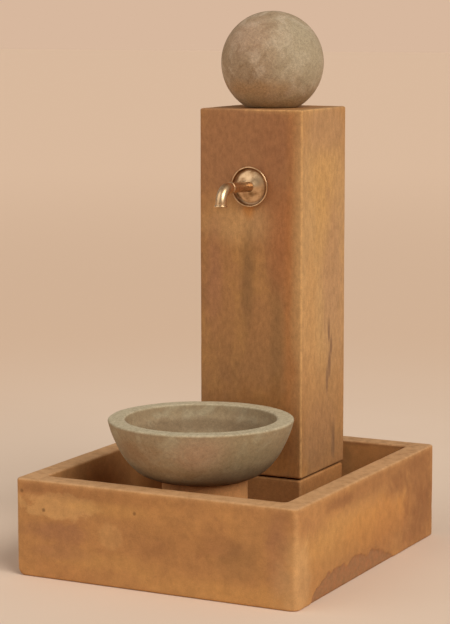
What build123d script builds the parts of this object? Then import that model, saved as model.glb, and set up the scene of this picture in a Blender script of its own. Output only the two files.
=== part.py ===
from build123d import *
import math
import os

os.makedirs("parts", exist_ok=True)

# A free-standing garden fountain, in millimetres, +Z up, base on Z = 0.
# X runs left to right along the front face, Y runs from the front to the back.

# ---- basin: one rectangular cast trough ----
BASIN_WIDTH = 760.0
BASIN_LENGTH = 842.0
BASIN_HEIGHT = 243.0
BASIN_WALL = 57.0
BASIN_FLOOR = 50.0
BASIN_CORNER_RADIUS = 12.0
BASIN_RIM_RADIUS = 6.0
BASIN_FOOT_EDGE_RADIUS = 5.0
BASIN_INNER_CORNER_RADIUS = 14.0

# ---- pillar: a hollow cast shaft on a plinth, bedded in a thin open joint ----
PILLAR_WIDTH = 288.0
PILLAR_DEPTH = 266.0
PILLAR_TOP_Z = 1126.0
PILLAR_BOTTOM_Z = 195.0
PILLAR_WALL = 38.0
PILLAR_CAP = 45.0
PILLAR_EDGE_RADIUS = 7.0
PILLAR_TOP_EDGE_RADIUS = 5.0
PILLAR_FOOT_EDGE_RADIUS = 6.0
PILLAR_OFFSET_X = 17.5
PILLAR_BACK_GAP = 31.5
PLINTH_SETBACK = 2.5
BED_THICKNESS = 3.5
BED_RECESS = 9.0

# ---- ball finial ----
BALL_RADIUS = 131.0
BALL_FLAT_RADIUS = 67.0
BALL_OFFSET_X = -3.0

# ---- bowl and its round pedestal ----
BOWL_RADIUS = 228.5
BOWL_TOP_Z = 385.0
BOWL_BOTTOM_Z = 235.0
BOWL_FOOT_RADIUS = 104.0
BOWL_RIM_WIDTH = 44.0
BOWL_LIP_RADIUS = 6.0
BOWL_THICKNESS = 27.0
BOWL_PILLAR_GAP = 23.0
BOWL_OFFSET_X = -9.5
PEDESTAL_MARGIN = 2.0
PEDESTAL_TOP_EDGE_RADIUS = 3.0
PEDESTAL_OFFSET_X = 6.0
PEDESTAL_OFFSET_Y = 8.0

# ---- brass spout ----
SPOUT_Z = 932.0
SPOUT_OFFSET_X = 1.5
SPOUT_TILT = 2.5
PIPE_RADIUS = 12.7
PIPE_WALL = 2.0
PIPE_REACH = 112.0
PIPE_TAIL = 60.0
PIPE_BORE_CLEARANCE = 0.5
ROSETTE_HOLE_CLEARANCE = 1.0
ROSETTE_RADIUS = 51.0
ROSETTE_DEPTH = 11.0
ROSETTE_DISH_DEPTH = 2.5
ROSETTE_BOSS_DEPTH = 13.0
ROSETTE_BEAD_RADIUS = 2.0
COLLAR_STEP = 2.3
COLLAR_LENGTH = 5.0
COLLAR_CHAMFER = 1.2
ELBOW_SWELL = 1.0
ELBOW_BEND_RADIUS = 38.0
ELBOW_RUN = 8.0
MOUTH_BEAD_RADIUS = 2.4
MOUTH_LENGTH = 8.0

# ---- places worked out from the sizes above ----
half_length = BASIN_LENGTH / 2
inner_back_y = half_length - BASIN_WALL
pillar_y = inner_back_y - PILLAR_BACK_GAP - PILLAR_DEPTH / 2
pillar_x = PILLAR_OFFSET_X
pillar_front_y = pillar_y - PILLAR_DEPTH / 2
plinth_top_z = PILLAR_BOTTOM_Z - BED_THICKNESS
ball_x = pillar_x + BALL_OFFSET_X
bowl_x = pillar_x + BOWL_OFFSET_X
bowl_y = pillar_front_y - BOWL_PILLAR_GAP - BOWL_RADIUS
pedestal_radius = BOWL_FOOT_RADIUS + PEDESTAL_MARGIN
pedestal_x = bowl_x + PEDESTAL_OFFSET_X
pedestal_y = bowl_y + PEDESTAL_OFFSET_Y
spout_x = pillar_x + SPOUT_OFFSET_X
elbow_start = PIPE_REACH + COLLAR_LENGTH
mouth_reach = elbow_start + ELBOW_RUN + ELBOW_BEND_RADIUS


def block(width, length, height, x, y, z):
    """A box standing on height z, centred on x, y."""
    shape = Box(width, length, height, align=(Align.CENTER, Align.CENTER, Align.MIN))
    return Pos(x, y, z) * shape


def pillar_block(inset, height, z):
    """A block that stands inside the pillar's outline, set in from it all round."""
    width = PILLAR_WIDTH - 2 * inset
    return block(width, PILLAR_DEPTH - 2 * inset, height, pillar_x, pillar_y, z)


def upright_edges(shape):
    return shape.edges().filter_by(Axis.Z)


def edges_at(shape, z):
    """The edges that lie wholly at height z."""
    found = []
    for edge in shape.edges():
        low = edge.bounding_box().min.Z
        high = edge.bounding_box().max.Z
        if abs(low - z) < 0.01 and abs(high - z) < 0.01:
            found.append(edge)
    return found


def make_basin():
    outer = block(BASIN_WIDTH, BASIN_LENGTH, BASIN_HEIGHT, 0, 0, 0)
    outer = fillet(upright_edges(outer), BASIN_CORNER_RADIUS)
    outer = fillet(edges_at(outer, 0), BASIN_FOOT_EDGE_RADIUS)
    inner = block(
        BASIN_WIDTH - 2 * BASIN_WALL,
        BASIN_LENGTH - 2 * BASIN_WALL,
        BASIN_HEIGHT,
        0,
        0,
        BASIN_FLOOR,
    )
    inner = fillet(upright_edges(inner), BASIN_INNER_CORNER_RADIUS)
    trough = outer - inner
    return fillet(edges_at(trough, BASIN_HEIGHT), BASIN_RIM_RADIUS)


def make_plinth():
    height = plinth_top_z - BASIN_FLOOR
    plinth = pillar_block(PLINTH_SETBACK, height, BASIN_FLOOR)
    plinth = fillet(upright_edges(plinth), PILLAR_EDGE_RADIUS)
    plinth = fillet(edges_at(plinth, plinth_top_z), PILLAR_FOOT_EDGE_RADIUS)
    return plinth - pillar_block(PILLAR_WALL, height, BASIN_FLOOR)


def make_bed():
    bed = pillar_block(PLINTH_SETBACK + BED_RECESS, BED_THICKNESS, plinth_top_z)
    return bed - pillar_block(PILLAR_WALL, BED_THICKNESS, plinth_top_z)


def make_pillar():
    height = PILLAR_TOP_Z - PILLAR_BOTTOM_Z
    shaft = pillar_block(0, height, PILLAR_BOTTOM_Z)
    shaft = fillet(upright_edges(shaft), PILLAR_EDGE_RADIUS)
    shaft = fillet(edges_at(shaft, PILLAR_TOP_Z), PILLAR_TOP_EDGE_RADIUS)
    shaft = fillet(edges_at(shaft, PILLAR_BOTTOM_Z), PILLAR_FOOT_EDGE_RADIUS)
    core = pillar_block(PILLAR_WALL, height - PILLAR_CAP, PILLAR_BOTTOM_Z)
    bore = Cylinder(PIPE_RADIUS + PIPE_BORE_CLEARANCE, 2 * PILLAR_WALL)
    bore = spout_place(SPOUT_TILT) * Pos(-PILLAR_WALL / 2, 0, 0) * Rot(0, 90, 0) * bore
    return shaft - core - bore


def make_ball():
    """A sphere cut flat underneath so that it stands on the pillar."""
    rise = math.sqrt(BALL_RADIUS ** 2 - BALL_FLAT_RADIUS ** 2)
    ball = Pos(ball_x, pillar_y, PILLAR_TOP_Z + rise) * Sphere(BALL_RADIUS)
    below = PILLAR_TOP_Z - 2 * BALL_RADIUS
    cutter = block(3 * BALL_RADIUS, 3 * BALL_RADIUS, 2 * BALL_RADIUS, ball_x, pillar_y, below)
    return ball - cutter


def make_bowl():
    """A round dish turned from one profile, with a broad rounded rim."""
    drop = BOWL_TOP_Z - BOWL_BOTTOM_Z
    lip = BOWL_LIP_RADIUS
    inner_radius = BOWL_RADIUS - BOWL_RIM_WIDTH
    outer_curve = [
        (BOWL_RADIUS, BOWL_TOP_Z - lip),
        (0.965 * BOWL_RADIUS, BOWL_TOP_Z - 0.22 * drop),
        (0.905 * BOWL_RADIUS, BOWL_TOP_Z - 0.43 * drop),
        (0.825 * BOWL_RADIUS, BOWL_TOP_Z - 0.645 * drop),
        (0.70 * BOWL_RADIUS, BOWL_TOP_Z - 0.85 * drop),
        (BOWL_FOOT_RADIUS, BOWL_BOTTOM_Z),
    ]
    inner_floor = BOWL_BOTTOM_Z + BOWL_THICKNESS
    inner_drop = BOWL_TOP_Z - inner_floor
    inner_curve = [
        (0, inner_floor),
        (0.45 * inner_radius, inner_floor + 0.06 * inner_drop),
        (0.80 * inner_radius, inner_floor + 0.35 * inner_drop),
        (0.96 * inner_radius, inner_floor + 0.72 * inner_drop),
        (inner_radius, BOWL_TOP_Z - lip),
    ]
    with BuildSketch(Plane.XZ) as profile:
        with BuildLine():
            Spline(*outer_curve, tangents=[(0, -1), (-1, -0.35)])
            Line(outer_curve[-1], (0, BOWL_BOTTOM_Z))
            Line((0, BOWL_BOTTOM_Z), inner_curve[0])
            Spline(*inner_curve, tangents=[(1, 0), (0, 1)])
            TangentArc(inner_curve[-1], (inner_radius + lip, BOWL_TOP_Z), tangent=(0, 1))
            Line((inner_radius + lip, BOWL_TOP_Z), (BOWL_RADIUS - lip, BOWL_TOP_Z))
            TangentArc((BOWL_RADIUS - lip, BOWL_TOP_Z), outer_curve[0], tangent=(1, 0))
        make_face()
    bowl = revolve(profile.sketch, Axis.Z)
    return Pos(bowl_x, bowl_y, 0) * bowl


def make_pedestal():
    height = BOWL_BOTTOM_Z - BASIN_FLOOR
    drum = Cylinder(pedestal_radius, height, align=(Align.CENTER, Align.CENTER, Align.MIN))
    drum = fillet(edges_at(drum, height), PEDESTAL_TOP_EDGE_RADIUS)
    return Pos(pedestal_x, pedestal_y, BASIN_FLOOR) * drum


def spout_place(tilt):
    """The spout's own frame: +X out from the pillar's face, tipped up by the tilt."""
    return Pos(spout_x, pillar_front_y, SPOUT_Z) * Rot(0, 0, -90) * Rot(0, -tilt, 0)


def turned_on_spout(points):
    """A turned piece on the spout's tipped axis; points are (distance out, radius)."""
    with BuildSketch(Plane.XY) as profile:
        with BuildLine():
            Polyline(*points, close=True)
        make_face()
    return spout_place(SPOUT_TILT) * revolve(profile.sketch, Axis.X)


def make_rosette():
    """A dished round back plate with a beaded rim, open round the pipe."""
    hole = PIPE_RADIUS + ROSETTE_HOLE_CLEARANCE
    bead = ROSETTE_BEAD_RADIUS
    bead_centre = (ROSETTE_DEPTH - bead, ROSETTE_RADIUS - bead)
    seat_radius = ROSETTE_RADIUS - 2 * bead
    inside_edge = (bead_centre[0], bead_centre[1] - bead)
    outside_edge = (bead_centre[0], bead_centre[1] + bead)
    boss = (ROSETTE_BOSS_DEPTH, hole)
    with BuildSketch(Plane.XY) as profile:
        with BuildLine():
            Line((0, hole), (0, seat_radius))
            Line((0, seat_radius), outside_edge)
            ThreePointArc(outside_edge, (ROSETTE_DEPTH, bead_centre[1]), inside_edge)
            Spline(
                inside_edge,
                (ROSETTE_DISH_DEPTH, 0.76 * ROSETTE_RADIUS),
                (1.5 * ROSETTE_DISH_DEPTH, 0.45 * ROSETTE_RADIUS),
                boss,
                tangents=[(-1, -0.1), (1, -0.25)],
            )
            Line(boss, (0, hole))
        make_face()
    return spout_place(0) * revolve(profile.sketch, Axis.X)


def make_pipe():
    start = -PIPE_TAIL
    outer = PIPE_RADIUS
    inner = PIPE_RADIUS - PIPE_WALL
    points = [(start, inner), (start, outer), (PIPE_REACH, outer), (PIPE_REACH, inner)]
    return turned_on_spout(points)


def make_collar():
    start = PIPE_REACH
    end = PIPE_REACH + COLLAR_LENGTH
    inner = PIPE_RADIUS - PIPE_WALL
    outer = PIPE_RADIUS + COLLAR_STEP
    points = [
        (start, inner),
        (start, outer - COLLAR_CHAMFER),
        (start + COLLAR_CHAMFER, outer),
        (end - COLLAR_CHAMFER, outer),
        (end, outer - COLLAR_CHAMFER),
        (end, inner),
    ]
    return turned_on_spout(points)


def make_elbow():
    """A bent tube from the collar to the mouth, level first and then straight down."""
    outer = PIPE_RADIUS + ELBOW_SWELL
    inner = outer - PIPE_WALL
    path_start = Vector(elbow_start, 0, 0)
    bend_start = Vector(elbow_start + ELBOW_RUN, 0, 0)
    bend_end = Vector(mouth_reach, 0, -ELBOW_BEND_RADIUS)
    straight = Line(path_start, bend_start)
    quarter = TangentArc(bend_start, bend_end, tangent=(1, 0, 0))
    path = Wire([straight.edge(), quarter.edge()])
    section = Plane(origin=path_start, z_dir=(1, 0, 0))
    outside = sweep(section * Circle(outer), path=path)
    inside = sweep(section * Circle(inner), path=path)
    return spout_place(SPOUT_TILT) * (outside - inside)


def make_mouth():
    """The turned lip at the end of the elbow."""
    outer = PIPE_RADIUS + ELBOW_SWELL
    inner = outer - PIPE_WALL
    top = -ELBOW_BEND_RADIUS
    low = top - MOUTH_LENGTH
    bead = MOUTH_BEAD_RADIUS
    points = [
        (inner, top),
        (outer, top),
        (outer + 0.25 * bead, low + 2.2 * bead),
        (outer + bead, low + 1.6 * bead),
        (outer + bead, low + 0.5 * bead),
        (outer + 0.5 * bead, low),
        (inner + 0.3 * bead, low),
        (inner, low + 0.5 * bead),
    ]
    with BuildSketch(Plane.XZ) as profile:
        with BuildLine():
            Polyline(*points, close=True)
        make_face()
    lip = Pos(mouth_reach, 0, 0) * revolve(profile.sketch, Axis.Z)
    return spout_place(SPOUT_TILT) * lip


PIECES = {
    "basin": make_basin,
    "pillar_plinth": make_plinth,
    "pillar_bed": make_bed,
    "pillar": make_pillar,
    "ball": make_ball,
    "bowl_pedestal": make_pedestal,
    "bowl": make_bowl,
    "spout_rosette": make_rosette,
    "spout_pipe": make_pipe,
    "spout_collar": make_collar,
    "spout_elbow": make_elbow,
    "spout_mouth": make_mouth,
}

for name, make in PIECES.items():
    export_step(make(), "parts/" + name + ".step")
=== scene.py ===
import math

import bmesh
import bpy
import numpy as np
from mathutils import Euler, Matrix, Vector, noise


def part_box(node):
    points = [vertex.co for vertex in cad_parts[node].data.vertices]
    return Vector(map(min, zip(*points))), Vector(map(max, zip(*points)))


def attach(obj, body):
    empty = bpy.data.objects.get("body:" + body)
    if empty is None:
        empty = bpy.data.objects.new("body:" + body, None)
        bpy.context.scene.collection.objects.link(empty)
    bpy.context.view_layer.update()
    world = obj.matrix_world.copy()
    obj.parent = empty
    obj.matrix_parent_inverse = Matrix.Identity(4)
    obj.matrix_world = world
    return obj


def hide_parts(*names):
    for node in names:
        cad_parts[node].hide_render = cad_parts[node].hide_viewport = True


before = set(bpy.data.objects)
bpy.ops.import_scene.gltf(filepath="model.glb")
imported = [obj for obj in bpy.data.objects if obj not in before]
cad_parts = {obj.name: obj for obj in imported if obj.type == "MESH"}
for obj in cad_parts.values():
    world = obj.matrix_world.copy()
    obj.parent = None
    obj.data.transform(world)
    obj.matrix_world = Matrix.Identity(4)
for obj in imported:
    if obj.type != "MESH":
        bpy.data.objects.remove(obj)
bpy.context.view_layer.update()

# A cast stone garden fountain: basin, pillar on a plinth, ball, bowl on a drum, brass spout.
# Metres, +Z up, base on Z = 0. The bowl and the spout are on the -Y side.
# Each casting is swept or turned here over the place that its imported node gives, then its
# faces are made slightly uneven by one node tree. The finishes share a few shader groups.

mm = 0.001


# ---------------------------------------------------------------- places, read from the frame

def middle_of(node):
    low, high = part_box(node)
    return (low + high) / 2


basin_low, basin_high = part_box("basin")
plinth_low, plinth_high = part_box("pillar_plinth")
pillar_low, pillar_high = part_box("pillar")
ball_low, ball_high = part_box("ball")
bowl_low, bowl_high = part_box("bowl")
drum_low, drum_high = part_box("bowl_pedestal")
rosette_low, rosette_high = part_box("spout_rosette")

basin_half = (basin_high - basin_low) / 2
pillar_front_y = pillar_low.y
bowl_centre = middle_of("bowl")
bowl_radius = (bowl_high.x - bowl_low.x) / 2
drum_centre = middle_of("bowl_pedestal")
drum_radius = (drum_high.x - drum_low.x) / 2
rosette_centre = middle_of("spout_rosette")
rosette_radius = (rosette_high.z - rosette_low.z) / 2

# sizes that the boxes can't give, the same as in the part's source
BASIN_WALL = 57 * mm
BASIN_FLOOR = 50 * mm
SPOUT_TILT = math.radians(2.5)
PIPE_RADIUS = 12.7 * mm
PIPE_REACH = 112 * mm
PIPE_WALL = 2 * mm
COLLAR_LENGTH = 5 * mm
COLLAR_RADIUS = 15 * mm
ELBOW_RUN = 8 * mm
ELBOW_BEND = 38 * mm
ELBOW_RADIUS = 13.7 * mm
MOUTH_LENGTH = 8 * mm
MOUTH_BEAD = 2.4 * mm


# ---------------------------------------------------------------- castings from swept sections

def arc(centre, radius, start, end, steps):
    """Points on an arc in a section, angles in degrees, both ends included."""
    points = []
    for step in range(steps + 1):
        angle = math.radians(start + (end - start) * step / steps)
        points.append((centre[0] + radius * math.cos(angle), centre[1] + radius * math.sin(angle)))
    return points


def spaced(start, end, spacing):
    """Points along a straight run of a section, both ends left out."""
    gap = math.dist(start, end)
    count = max(1, round(gap / spacing))
    return [
        (start[0] + (end[0] - start[0]) * k / count, start[1] + (end[1] - start[1]) * k / count)
        for k in range(1, count)
    ]


def mesh_from_rings(name, rings, closed_ends=True):
    """A solid from rings of equal length, each joined to the next; both ends are closed when closed_ends
    is set.
    """
    rings = np.array(rings, float)
    ring_count, around = rings.shape[:2]
    index = np.arange(ring_count * around).reshape(ring_count, around)
    ahead = np.roll(index, -1, axis=1)
    quads = np.stack([index[:-1], ahead[:-1], ahead[1:], index[1:]], axis=-1).reshape(-1, 4)
    faces = quads.tolist()
    if closed_ends:
        faces.append(index[0][::-1].tolist())
        faces.append(index[-1].tolist())
    mesh = bpy.data.meshes.new(name)
    mesh.from_pydata(rings.reshape(-1, 3).tolist(), [], faces)
    return mesh


def finish_mesh(mesh, sharp_angle=40):
    """Outward faces, smooth shading and sharp edges where the surface really turns."""
    shell = bmesh.new()
    shell.from_mesh(mesh)
    bmesh.ops.remove_doubles(shell, verts=shell.verts, dist=1e-6)
    bmesh.ops.recalc_face_normals(shell, faces=shell.faces)
    for edge in shell.edges:
        if len(edge.link_faces) == 2:
            edge.smooth = edge.calc_face_angle() < math.radians(sharp_angle)
    for face in shell.faces:
        face.smooth = True
    shell.to_mesh(mesh)
    shell.free()


def add_to_scene(name, data):
    thing = bpy.data.objects.new(name, data)
    bpy.context.scene.collection.objects.link(thing)
    return thing


def add_piece(name, mesh, material, stands_for):
    """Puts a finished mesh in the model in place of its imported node."""
    finish_mesh(mesh)
    mesh.materials.clear()
    mesh.materials.append(material)
    piece = add_to_scene(name, mesh)
    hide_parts(stands_for)
    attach(piece, "root")
    return piece


def rounded_outline(half_x, half_y, radius, run_x, run_y, corner_steps=7):
    """A rounded rectangle, seen from above, with the same number of points for any size."""
    corners = (
        (half_x - radius, half_y - radius, 0),
        (radius - half_x, half_y - radius, 90),
        (radius - half_x, radius - half_y, 180),
        (half_x - radius, radius - half_y, 270),
    )
    runs = (run_x, run_y, run_x, run_y)
    points = []
    for k, (x, y, turn) in enumerate(corners):
        bend = arc((x, y), radius, turn, turn + 90, corner_steps)
        points += bend
        x2, y2, turn2 = corners[(k + 1) % 4]
        across = arc((x2, y2), radius, turn2, turn2, 1)[0]
        for step in range(1, runs[k]):
            share = step / runs[k]
            points.append(
                (
                    bend[-1][0] + (across[0] - bend[-1][0]) * share,
                    bend[-1][1] + (across[1] - bend[-1][1]) * share,
                )
            )
    return points


def swept_block(name, section, centre, half, runs):
    """A casting whose section, (inset, height, corner radius), goes round a rectangle."""
    rings = []
    for inset, height, corner in section:
        outline = rounded_outline(half.x - inset, half.y - inset, corner, *runs)
        rings.append([(centre.x + x, centre.y + y, height) for x, y in outline])
    return mesh_from_rings(name, rings)


def turned(name, section, centre, around=192):
    """A casting turned round an upright axis; the section is (radius, height)."""
    rings = []
    for radius, height in section:
        ring = []
        for k in range(around):
            angle = 2 * math.pi * k / around
            ring.append(
                (
                    centre.x + radius * math.cos(angle),
                    centre.y + radius * math.sin(angle),
                    height,
                )
            )
        rings.append(ring)
    return mesh_from_rings(name, rings)


# ---------------------------------------------------------------- node tree helpers

def feed(tree, socket, value):
    """Links a socket to another, or sets its plain value."""
    if isinstance(value, bpy.types.NodeSocket):
        tree.links.new(value, socket)
    else:
        socket.default_value = value


def add_node(tree, kind, settings=None, **inputs):
    """Adds a node; settings are its properties, inputs are values or sockets to link."""
    node = tree.nodes.new(kind)
    for key, value in (settings or {}).items():
        setattr(node, key, value)
    for key, value in inputs.items():
        wanted = key.replace("_", " ")
        feed(tree, next(s for s in node.inputs if s.enabled and s.name == wanted), value)
    return node


def noise_node(tree, place, scale, detail, roughness=0.5, distortion=0.0):
    """The value of a noise at a place, from 0 to 1."""
    node = add_node(
        tree,
        "ShaderNodeTexNoise",
        Vector=place,
        Scale=scale,
        Detail=detail,
        Roughness=roughness,
        Distortion=distortion,
    )
    return node.outputs[0]


def math_node(tree, operation, *values, clamp=False):
    node = tree.nodes.new("ShaderNodeMath")
    node.operation = operation
    node.use_clamp = clamp
    for socket, value in zip(node.inputs, values):
        feed(tree, socket, value)
    return node.outputs[0]


def vector_node(tree, operation, *values):
    node = tree.nodes.new("ShaderNodeVectorMath")
    node.operation = operation
    for socket, value in zip(node.inputs, values):
        feed(tree, socket, value)
    if operation in ("LENGTH", "DOT_PRODUCT", "DISTANCE"):
        return node.outputs["Value"]
    return node.outputs[0]


def ramp(tree, value, low, high):
    """0 below low, 1 above high, smooth between."""
    node = add_node(
        tree,
        "ShaderNodeMapRange",
        {"interpolation_type": "SMOOTHSTEP"},
        Value=value,
        From_Min=low,
        From_Max=high,
    )
    return node.outputs[0]


def blend_colour(tree, share, first, second, blend_type="MIX"):
    node = tree.nodes.new("ShaderNodeMix")
    node.data_type = "RGBA"
    node.blend_type = blend_type
    for name, value in (("Factor", share), ("A", first), ("B", second)):
        socket = next(s for s in node.inputs if s.enabled and s.name == name)
        if isinstance(value, tuple):
            value = (*value, 1)
        feed(tree, socket, value)
    return next(s for s in node.outputs if s.enabled)


def new_group(name, kind, inputs, outputs):
    """A node group with named sockets: inputs are (name, type, value), outputs (name, type)."""
    tree = bpy.data.node_groups.new(name, kind)
    for label, kind_of_value, value in inputs:
        socket = tree.interface.new_socket(label, in_out="INPUT", socket_type=kind_of_value)
        if value is not None:
            socket.default_value = value
    for label, kind_of_value in outputs:
        tree.interface.new_socket(label, in_out="OUTPUT", socket_type=kind_of_value)
    entry = tree.nodes.new("NodeGroupInput")
    leave = tree.nodes.new("NodeGroupOutput")
    return tree, entry.outputs, leave.inputs


def use_group(tree, group, **inputs):
    node = tree.nodes.new("ShaderNodeGroup")
    node.node_tree = group
    for key, value in inputs.items():
        feed(tree, node.inputs[key.replace("_", " ")], value)
    return node.outputs


FLOAT = "NodeSocketFloat"
VECTOR = "NodeSocketVector"
GEOMETRY = "NodeSocketGeometry"


# ---------------------------------------------------------------- Geometry Nodes

def make_uneven_face_tree():
    """Draws a casting's faces in by a few tenths of a millimetre, as hand finishing leaves them."""
    tree, inside, out = new_group(
        "uneven cast face",
        "GeometryNodeTree",
        [
            ("Geometry", GEOMETRY, None),
            ("Wave Depth", FLOAT, 1 * mm),
            ("Wave Size", FLOAT, 0.12),
            ("Dent Depth", FLOAT, 0.5 * mm),
            ("Dent Size", FLOAT, 0.02),
            ("Seed", FLOAT, 0.0),
            ("Stone", "NodeSocketMaterial", None),
        ],
        [("Geometry", GEOMETRY)],
    )
    place = tree.nodes.new("GeometryNodeInputPosition").outputs[0]
    normal = tree.nodes.new("GeometryNodeInputNormal").outputs[0]
    moved = vector_node(tree, "ADD", place, add_node(
        tree, "ShaderNodeCombineXYZ", X=inside["Seed"], Y=inside["Seed"], Z=inside["Seed"]
    ).outputs[0])

    def relief(size, detail):
        scale = math_node(tree, "DIVIDE", 1.0, size)
        return noise_node(tree, moved, scale, detail)

    waves = math_node(tree, "MULTIPLY", relief(inside["Wave Size"], 1.0), inside["Wave Depth"])
    dents = ramp(tree, relief(inside["Dent Size"], 2.0), 0.5, 0.8)
    dents = math_node(tree, "MULTIPLY", dents, inside["Dent Depth"])
    depth = math_node(tree, "MULTIPLY", math_node(tree, "ADD", waves, dents), -1.0)
    push = vector_node(tree, "SCALE", normal, depth)
    scale_socket = push.node.inputs["Scale"]
    tree.links.new(depth, scale_socket)
    shaped = add_node(
        tree, "GeometryNodeSetPosition", Geometry=inside["Geometry"], Offset=push
    ).outputs[0]
    whole = add_node(tree, "GeometryNodeRealizeInstances", Geometry=shaped).outputs[0]
    finished = add_node(
        tree, "GeometryNodeSetMaterial", Geometry=whole, Material=inside["Stone"]
    ).outputs[0]
    tree.links.new(finished, out["Geometry"])
    return tree


def make_bent_tube_tree():
    """A round tube that follows a curve, its radius changing evenly from end to end."""
    tree, inside, out = new_group(
        "bent tube",
        "GeometryNodeTree",
        [
            ("Geometry", GEOMETRY, None),
            ("Start Radius", FLOAT, 13 * mm),
            ("End Radius", FLOAT, 11 * mm),
            ("Sides", "NodeSocketInt", 64),
            ("Metal", "NodeSocketMaterial", None),
        ],
        [("Geometry", GEOMETRY)],
    )
    along = tree.nodes.new("GeometryNodeSplineParameter").outputs["Factor"]
    radius = add_node(
        tree,
        "ShaderNodeMapRange",
        Value=along,
        To_Min=inside["Start Radius"],
        To_Max=inside["End Radius"],
    ).outputs[0]
    section = add_node(
        tree, "GeometryNodeCurvePrimitiveCircle", Resolution=inside["Sides"], Radius=1.0
    ).outputs[0]
    skin = add_node(
        tree,
        "GeometryNodeCurveToMesh",
        Curve=inside["Geometry"],
        Profile_Curve=section,
        Scale=radius,
    ).outputs[0]
    whole = add_node(tree, "GeometryNodeRealizeInstances", Geometry=skin).outputs[0]
    finished = add_node(
        tree, "GeometryNodeSetMaterial", Geometry=whole, Material=inside["Metal"]
    ).outputs[0]
    tree.links.new(finished, out["Geometry"])
    return tree


def run_tree(name, data, tree, values, wall=0.0):
    """Runs a node tree on a mesh or curve and returns the result as a plain mesh."""
    holder = add_to_scene(name, data)
    modifier = holder.modifiers.new("shape", "NODES")
    modifier.node_group = tree
    for item in tree.interface.items_tree:
        if item.item_type == "SOCKET" and item.in_out == "INPUT" and item.name in values:
            modifier[item.identifier] = values[item.name]
    if wall:
        thick = holder.modifiers.new("wall", "SOLIDIFY")
        thick.thickness = wall
        thick.offset = -1
    bpy.context.view_layer.update()
    graph = bpy.context.evaluated_depsgraph_get()
    mesh = bpy.data.meshes.new_from_object(holder.evaluated_get(graph), depsgraph=graph)
    holder.modifiers.clear()
    bpy.data.objects.remove(holder)
    return mesh


# ---------------------------------------------------------------- shader groups

def make_cloud_group():
    """Washes of stain: golden clouds, dark clouds and a fine mottle, all from 0 to 1."""
    tree, inside, out = new_group(
        "stain clouds",
        "ShaderNodeTree",
        [
            ("Position", VECTOR, None),
            ("Cloud Size", FLOAT, 0.18),
            ("Upright Stretch", FLOAT, 1.0),
            ("Seed", FLOAT, 0.0),
        ],
        [("Gold", FLOAT), ("Dark", FLOAT), ("Mottle", FLOAT)],
    )
    squeeze = math_node(tree, "DIVIDE", 1.0, inside["Upright Stretch"])
    shape = add_node(tree, "ShaderNodeCombineXYZ", X=1.0, Y=1.0, Z=squeeze).outputs[0]
    place = vector_node(tree, "MULTIPLY", inside["Position"], shape)
    shift = add_node(
        tree, "ShaderNodeCombineXYZ", X=inside["Seed"], Y=inside["Seed"], Z=inside["Seed"]
    ).outputs[0]
    place = vector_node(tree, "ADD", place, shift)
    scale = math_node(tree, "DIVIDE", 1.0, inside["Cloud Size"])
    gold = noise_node(tree, place, scale, 5.0, 0.55, 0.6)
    far = vector_node(tree, "ADD", place, (7.3, 2.1, 4.4))
    dark = noise_node(tree, far, math_node(tree, "MULTIPLY", scale, 1.3), 6.0, 0.6, 0.9)
    mottle = noise_node(tree, place, math_node(tree, "MULTIPLY", scale, 9.0), 6.0, 0.7)
    tree.links.new(ramp(tree, gold, 0.46, 0.64), out["Gold"])
    tree.links.new(ramp(tree, dark, 0.5, 0.68), out["Dark"])
    tree.links.new(ramp(tree, mottle, 0.25, 0.75), out["Mottle"])
    return tree


def make_wander_group():
    """A slow ragged noise about zero, which pushes the outlines of the stain patches and of the painted
    shade and light patches in and out.
    """
    tree, inside, out = new_group(
        "ragged outline",
        "ShaderNodeTree",
        [("Position", VECTOR, None), ("Size", FLOAT, 0.07), ("Upright Stretch", FLOAT, 1.0)],
        [("Wander", FLOAT)],
    )
    squeeze = math_node(tree, "DIVIDE", 1.0, inside["Upright Stretch"])
    shape = add_node(tree, "ShaderNodeCombineXYZ", X=1.0, Y=1.0, Z=squeeze).outputs[0]
    place = vector_node(tree, "MULTIPLY", inside["Position"], shape)
    noise = noise_node(tree, place, math_node(tree, "DIVIDE", 1.0, inside["Size"]), 6.0, 0.62, 0.7)
    centred = math_node(tree, "MULTIPLY", math_node(tree, "SUBTRACT", noise, 0.5), 4.0)
    tree.links.new(centred, out["Wander"])
    return tree


def make_patch_group():
    """One soft, ragged patch at a given place on a casting; it draws stains and also painted shade and
    painted light.
    """
    tree, inside, out = new_group(
        "stain and painted light patch",
        "ShaderNodeTree",
        [
            ("Position", VECTOR, None),
            ("Wander", FLOAT, 0.0),
            ("Centre", VECTOR, None),
            ("Reach", VECTOR, (0.1, 0.1, 0.1)),
            ("Ragged", FLOAT, 0.8),
            ("Softness", FLOAT, 0.5),
        ],
        [("Mask", FLOAT)],
    )
    away = vector_node(tree, "SUBTRACT", inside["Position"], inside["Centre"])
    away = vector_node(tree, "DIVIDE", away, inside["Reach"])
    distance = vector_node(tree, "LENGTH", away)
    push = math_node(tree, "MULTIPLY", inside["Wander"], inside["Ragged"])
    distance = math_node(tree, "ADD", distance, push)
    inner = math_node(tree, "SUBTRACT", 1.0, inside["Softness"])
    outer = math_node(tree, "ADD", 1.0, inside["Softness"])
    away_share = ramp(tree, distance, inner, outer)
    tree.links.new(math_node(tree, "SUBTRACT", 1.0, away_share), out["Mask"])
    return tree


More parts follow.
